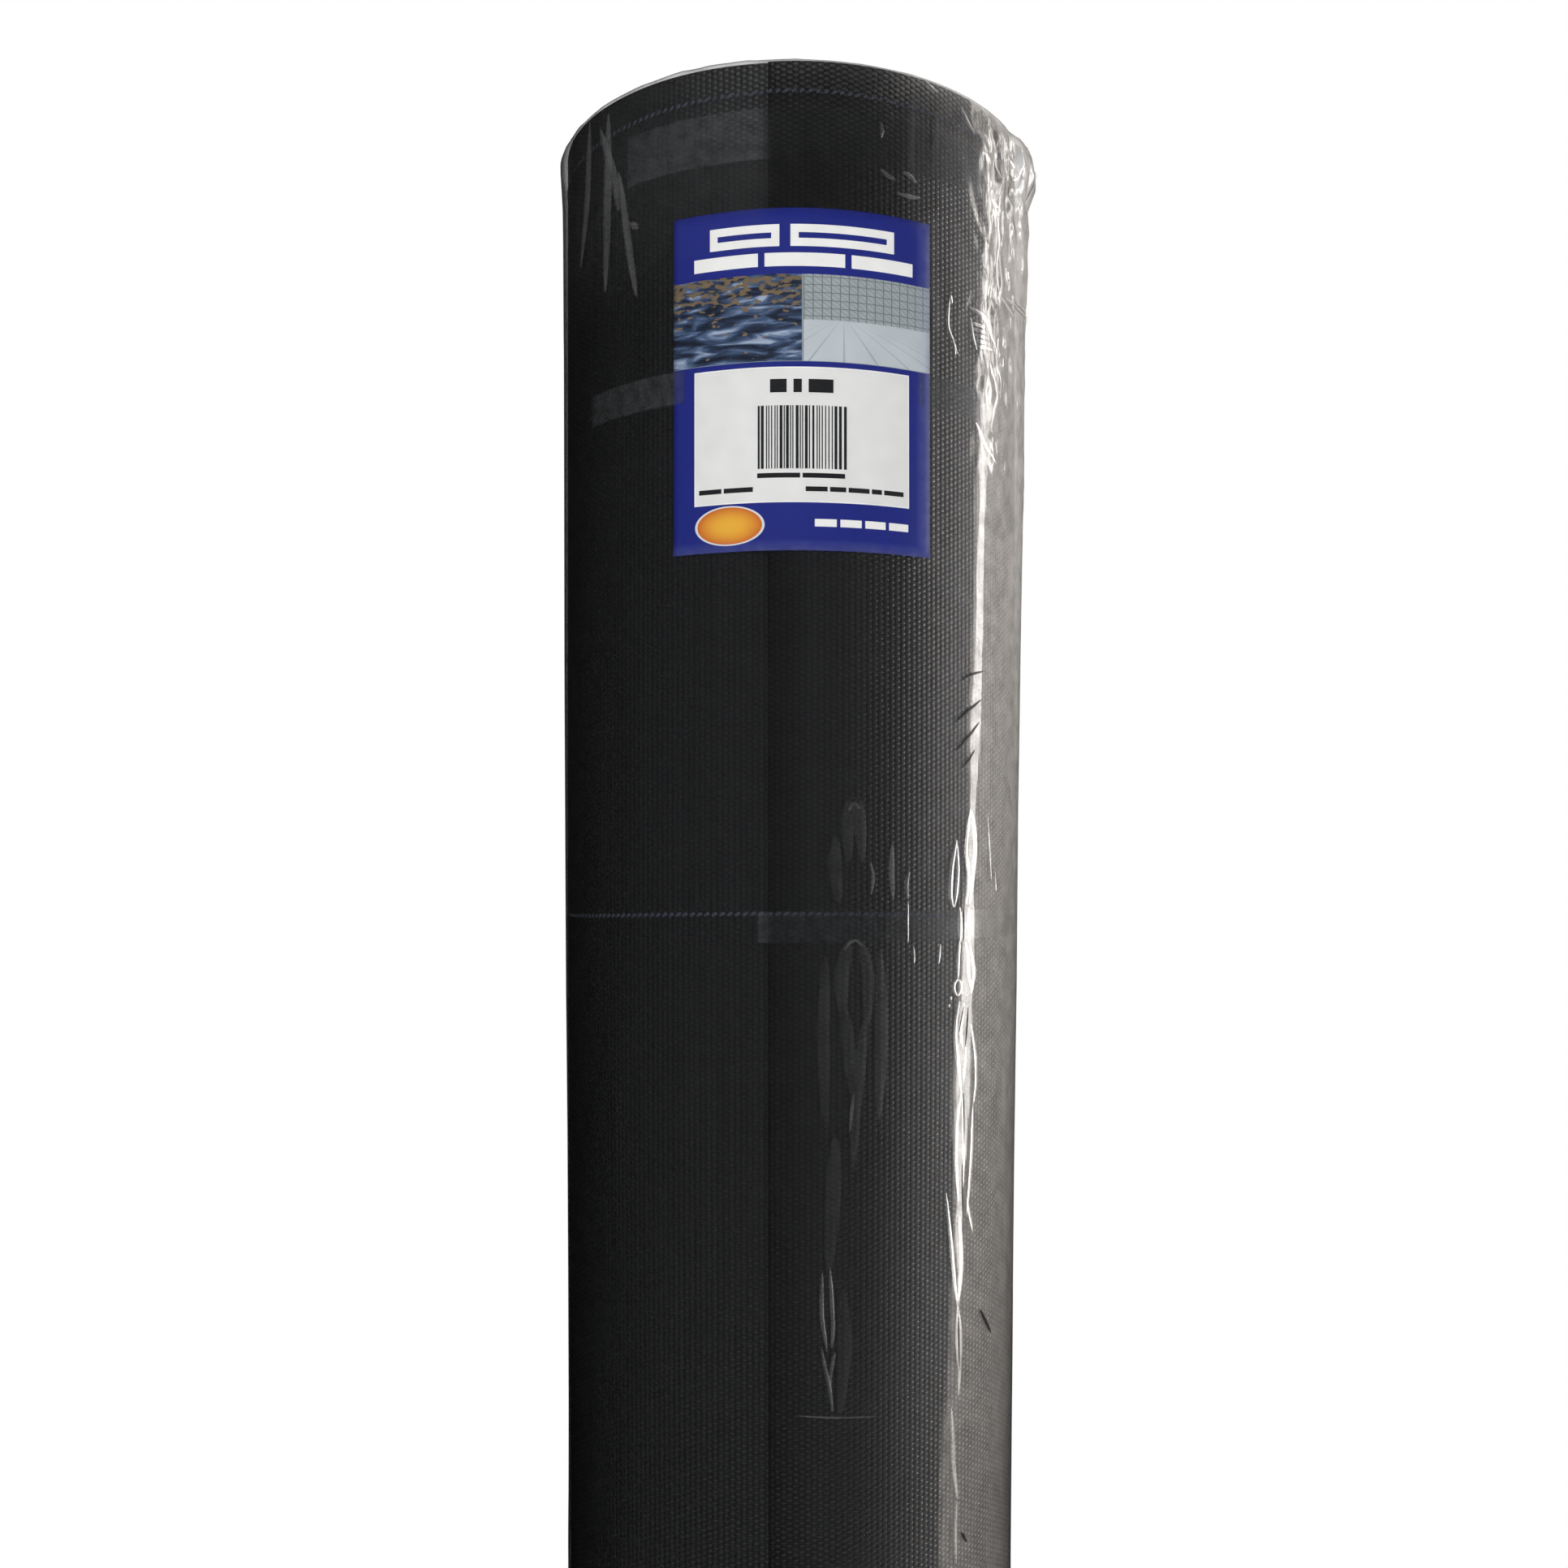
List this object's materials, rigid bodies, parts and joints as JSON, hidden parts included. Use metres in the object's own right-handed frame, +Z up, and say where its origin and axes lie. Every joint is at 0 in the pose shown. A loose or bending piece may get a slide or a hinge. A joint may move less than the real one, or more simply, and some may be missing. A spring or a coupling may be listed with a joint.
{
  "type": "roll of woven ground fabric",
  "caption": "Full-width roll of black woven weed-barrier fabric on a cardboard core, labelled, taped and wrapped in a clear film sleeve, standing on its end.",
  "frame": {"origin": "centre of the film sleeve's lower end face, on which the roll stands", "axes": "+Z up along the core; -Y towards the viewer in the picture, where the free edge and the label are; +X to the viewer's right"},
  "size_m": [0.1932, 0.1932, 1.8306],
  "materials": {
    "cardboard": "brown kraft board, wound in a spiral, dull",
    "paper_tape": "crepe paper tape, dull",
    "woven_black": "flat-woven polypropylene tape yarns, near black, satin",
    "marker_violet": "dull violet-blue marker yarn",
    "clear_tape": "clear packing tape, slightly hazy",
    "label_print": "printed paper label, deep blue with a pale panel, satin",
    "clear_film": "thin clear polyethylene film, glossy, wrinkled"
  },
  "bodies": {
    "root": {"core_tube": "cardboard", "core_start_tape": "paper_tape", "woven_web": "woven_black", "marker_yarn_1": "marker_violet", "marker_yarn_2": "marker_violet", "marker_yarn_3": "marker_violet", "marker_yarn_4": "marker_violet", "marker_yarn_5": "marker_violet", "marker_yarn_6": "marker_violet", "free_edge_tape_top": "clear_tape", "free_edge_tape_upper": "clear_tape", "free_edge_tape_lower": "clear_tape", "free_edge_tape_bottom": "clear_tape", "roll_label": "label_print", "label_tape_left": "clear_tape", "label_tape_right": "clear_tape", "film_sleeve": "clear_film"}
  },
  "joints": []
}
